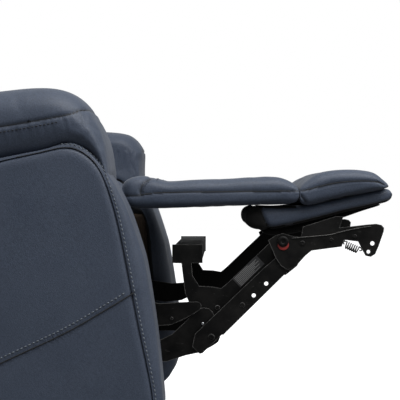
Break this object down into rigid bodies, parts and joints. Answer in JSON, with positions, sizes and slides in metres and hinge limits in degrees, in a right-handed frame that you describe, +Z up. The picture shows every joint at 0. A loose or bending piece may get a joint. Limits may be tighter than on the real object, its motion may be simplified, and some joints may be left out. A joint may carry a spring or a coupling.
{
  "type": "lift recliner chair",
  "caption": "Padded lift recliner chair with a scissor footrest, a reclining back and a powered base that tilts the whole seat up and forward",
  "frame": {"origin": "centre of the bounding box in plan, on the floor under the base's feet", "axes": "+Z up, the chair faces -Y, its left side is +X"},
  "size_m": [0.89, 1.3056, 1.0739],
  "materials": {
    "leather": "satin",
    "black_metal": "satin",
    "bright_steel": "satin",
    "black_plastic": "satin",
    "grey_plastic": "satin",
    "black_fabric": "matte",
    "rubber": "matte",
    "red_plastic": "satin"
  },
  "bodies": {
    "base": {"base_side_rail_left": "black_metal", "base_side_rail_right": "black_metal", "base_front_tube": "black_metal", "base_rear_tube": "black_metal", "base_foot_front_left": "rubber", "base_foot_front_right": "rubber", "base_foot_rear_left": "rubber", "base_foot_rear_right": "rubber", "base_upright_left": "black_metal", "base_upright_right": "black_metal", "power_supply_box": "black_plastic"},
    "lift_arms": {"lift_link_left": "black_metal", "lift_link_right": "black_metal", "lift_cross_tube": "black_metal"},
    "upper_lift_links": {"lift_upper_link_left": "black_metal", "lift_upper_link_right": "black_metal"},
    "lift_motor": {"lift_motor": "black_plastic"},
    "lift_rod": {"lift_rod": "bright_steel"},
    "chassis": {"chassis_side_plate_left": "black_metal", "chassis_side_plate_right": "black_metal", "chassis_front_tube": "black_metal", "chassis_rear_tube": "black_metal", "spring_deck": "black_fabric", "seat_cushion": "leather", "arm_body_left": "leather", "arm_body_right": "leather", "arm_pad_left": "leather", "arm_pad_right": "leather", "control_panel": "grey_plastic"},
    "back": {"back_frame": "black_metal", "back_shell": "leather", "back_lumbar_cushion": "leather", "back_head_cushion": "leather"},
    "back_motor": {"back_motor": "black_plastic"},
    "back_rod": {"back_rod": "bright_steel"},
    "drive_links": {"drive_link_left": "black_metal", "drive_link_right": "black_metal", "footrest_drive_tube": "black_metal"},
    "carrier_links": {"carrier_link_left": "black_metal", "carrier_link_right": "black_metal", "footrest_cross_beam": "black_metal"},
    "strut_links": {"strut_link_left": "black_metal", "strut_link_right": "black_metal"},
    "parallel_links": {"parallel_link_left": "black_metal", "parallel_link_right": "black_metal"},
    "ottoman": {"ottoman_bracket_left": "black_metal", "ottoman_bracket_right": "black_metal", "ottoman_board": "leather", "ottoman_pad": "leather", "ottoman_spring_left": "bright_steel", "ottoman_spring_right": "bright_steel", "pivot_bushing_left": "red_plastic", "pivot_bushing_right": "red_plastic"},
    "chaise": {"chaise_pad": "leather"},
    "footrest_motor": {"footrest_motor": "black_plastic"},
    "footrest_rod": {"footrest_rod": "bright_steel"},
    "button_1": {"control_button_1": "black_plastic"},
    "button_2": {"control_button_2": "black_plastic"},
    "button_3": {"control_button_3": "black_plastic"},
    "button_4": {"control_button_4": "black_plastic"}
  },
  "joints": [
    {"name": "lift_raise", "type": "hinge", "parent": "base", "child": "lift_arms", "pos_m": [0, -0.159, 0.064], "axis": [1, 0, 0], "range_deg": [0, 52]},
    {"name": "carriage_tilt", "type": "hinge", "parent": "lift_arms", "child": "chassis", "pos_m": [0, 0.291, 0.08], "axis": [1, 0, 0], "range_deg": [-28.1, 0]},
    {"name": "upper_lift_swing", "type": "hinge", "parent": "base", "child": "upper_lift_links", "pos_m": [0, -0.1194, 0.0921], "axis": [1, 0, 0], "range_deg": [0, 48.4]},
    {"name": "lift_motor_tilt", "type": "hinge", "parent": "base", "child": "lift_motor", "pos_m": [0, 0.476, 0.085], "axis": [1, 0, 0], "range_deg": [-0.41933, 0]},
    {"name": "lift_rod_travel", "type": "slide", "parent": "lift_motor", "child": "lift_rod", "axis": [0, -0.9966, 0.0827], "range_m": [0, 0.07082]},
    {"name": "back_recline", "type": "hinge", "parent": "chassis", "child": "back", "pos_m": [0, 0.361, 0.4], "axis": [-1, 0, 0], "range_deg": [0, 45]},
    {"name": "back_motor_tilt", "type": "hinge", "parent": "chassis", "child": "back_motor", "pos_m": [0, -0.106, 0.352], "axis": [-1, 0, 0], "range_deg": [0, 0.82069]},
    {"name": "back_rod_travel", "type": "slide", "parent": "back_motor", "child": "back_rod", "axis": [0, 0.996, -0.0888], "range_m": [-0.07661, 0]},
    {"name": "footrest_fold", "type": "hinge", "parent": "chassis", "child": "drive_links", "pos_m": [0, -0.1505, 0.2659], "axis": [1, 0, 0], "range_deg": [0, 92.27]},
    {"name": "carrier_fold", "type": "hinge", "parent": "drive_links", "child": "carrier_links", "pos_m": [0, -0.321, 0.2669], "axis": [1, 0, 0], "range_deg": [-124.8, 0]},
    {"name": "ottoman_fold", "type": "hinge", "parent": "carrier_links", "child": "ottoman", "pos_m": [0, -0.4597, 0.4026], "axis": [1, 0, 0], "range_deg": [0, 127.9]},
    {"name": "strut_swing", "type": "hinge", "parent": "chassis", "child": "strut_links", "pos_m": [0, -0.1185, 0.2967], "axis": [1, 0, 0], "range_deg": [0, 86.5]},
    {"name": "parallel_swing", "type": "hinge", "parent": "drive_links", "child": "parallel_links", "pos_m": [0, -0.3337, 0.2343], "axis": [1, 0, 0], "range_deg": [-124.2, 0]},
    {"name": "chaise_fold", "type": "hinge", "parent": "chassis", "child": "chaise", "pos_m": [0, -0.179, 0.487], "axis": [1, 0, 0], "range_deg": [0, 69.3], "deforming": ["chaise_pad"]},
    {"name": "footrest_motor_tilt", "type": "hinge", "parent": "chassis", "child": "footrest_motor", "pos_m": [0, 0.346, 0.235], "axis": [1, 0, 0], "range_deg": [0, 0.33857]},
    {"name": "footrest_rod_travel", "type": "slide", "parent": "footrest_motor", "child": "footrest_rod", "axis": [0, -0.9927, 0.1206], "range_m": [0, 0.05772]},
    {"name": "button_1_press", "type": "slide", "parent": "chassis", "child": "button_1", "axis": [-1, 0, 0], "range_m": [0, 0.0019], "stiffness_N_per_m": 400, "springref_m": -0.001},
    {"name": "button_2_press", "type": "slide", "parent": "chassis", "child": "button_2", "axis": [-1, 0, 0], "range_m": [0, 0.0019], "stiffness_N_per_m": 400, "springref_m": -0.001},
    {"name": "button_3_press", "type": "slide", "parent": "chassis", "child": "button_3", "axis": [-1, 0, 0], "range_m": [0, 0.0019], "stiffness_N_per_m": 400, "springref_m": -0.001},
    {"name": "button_4_press", "type": "slide", "parent": "chassis", "child": "button_4", "axis": [-1, 0, 0], "range_m": [0, 0.0019], "stiffness_N_per_m": 400, "springref_m": -0.001}
  ],
  "couplings": [
    {"joint": "carriage_tilt", "follows": "lift_raise", "ratio": -0.53846},
    {"joint": "upper_lift_swing", "follows": "lift_raise", "ratio": 0.92777},
    {"joint": "lift_motor_tilt", "follows": "lift_raise", "ratio": -0.007717},
    {"joint": "lift_rod_travel", "follows": "lift_raise", "m_per_rad": 0.077873},
    {"joint": "back_motor_tilt", "follows": "back_recline", "ratio": 0.018057},
    {"joint": "back_rod_travel", "follows": "back_recline", "m_per_rad": -0.097354},
    {"joint": "carrier_fold", "follows": "footrest_fold", "ratio": -1.352},
    {"joint": "ottoman_fold", "follows": "footrest_fold", "ratio": 1.3848},
    {"joint": "strut_swing", "follows": "footrest_fold", "ratio": 0.9364},
    {"joint": "parallel_swing", "follows": "footrest_fold", "ratio": -1.3455},
    {"joint": "chaise_fold", "follows": "footrest_fold", "ratio": 0.75},
    {"joint": "footrest_motor_tilt", "follows": "footrest_fold", "ratio": 0.003633},
    {"joint": "footrest_rod_travel", "follows": "footrest_fold", "m_per_rad": 0.03577}
  ]
}
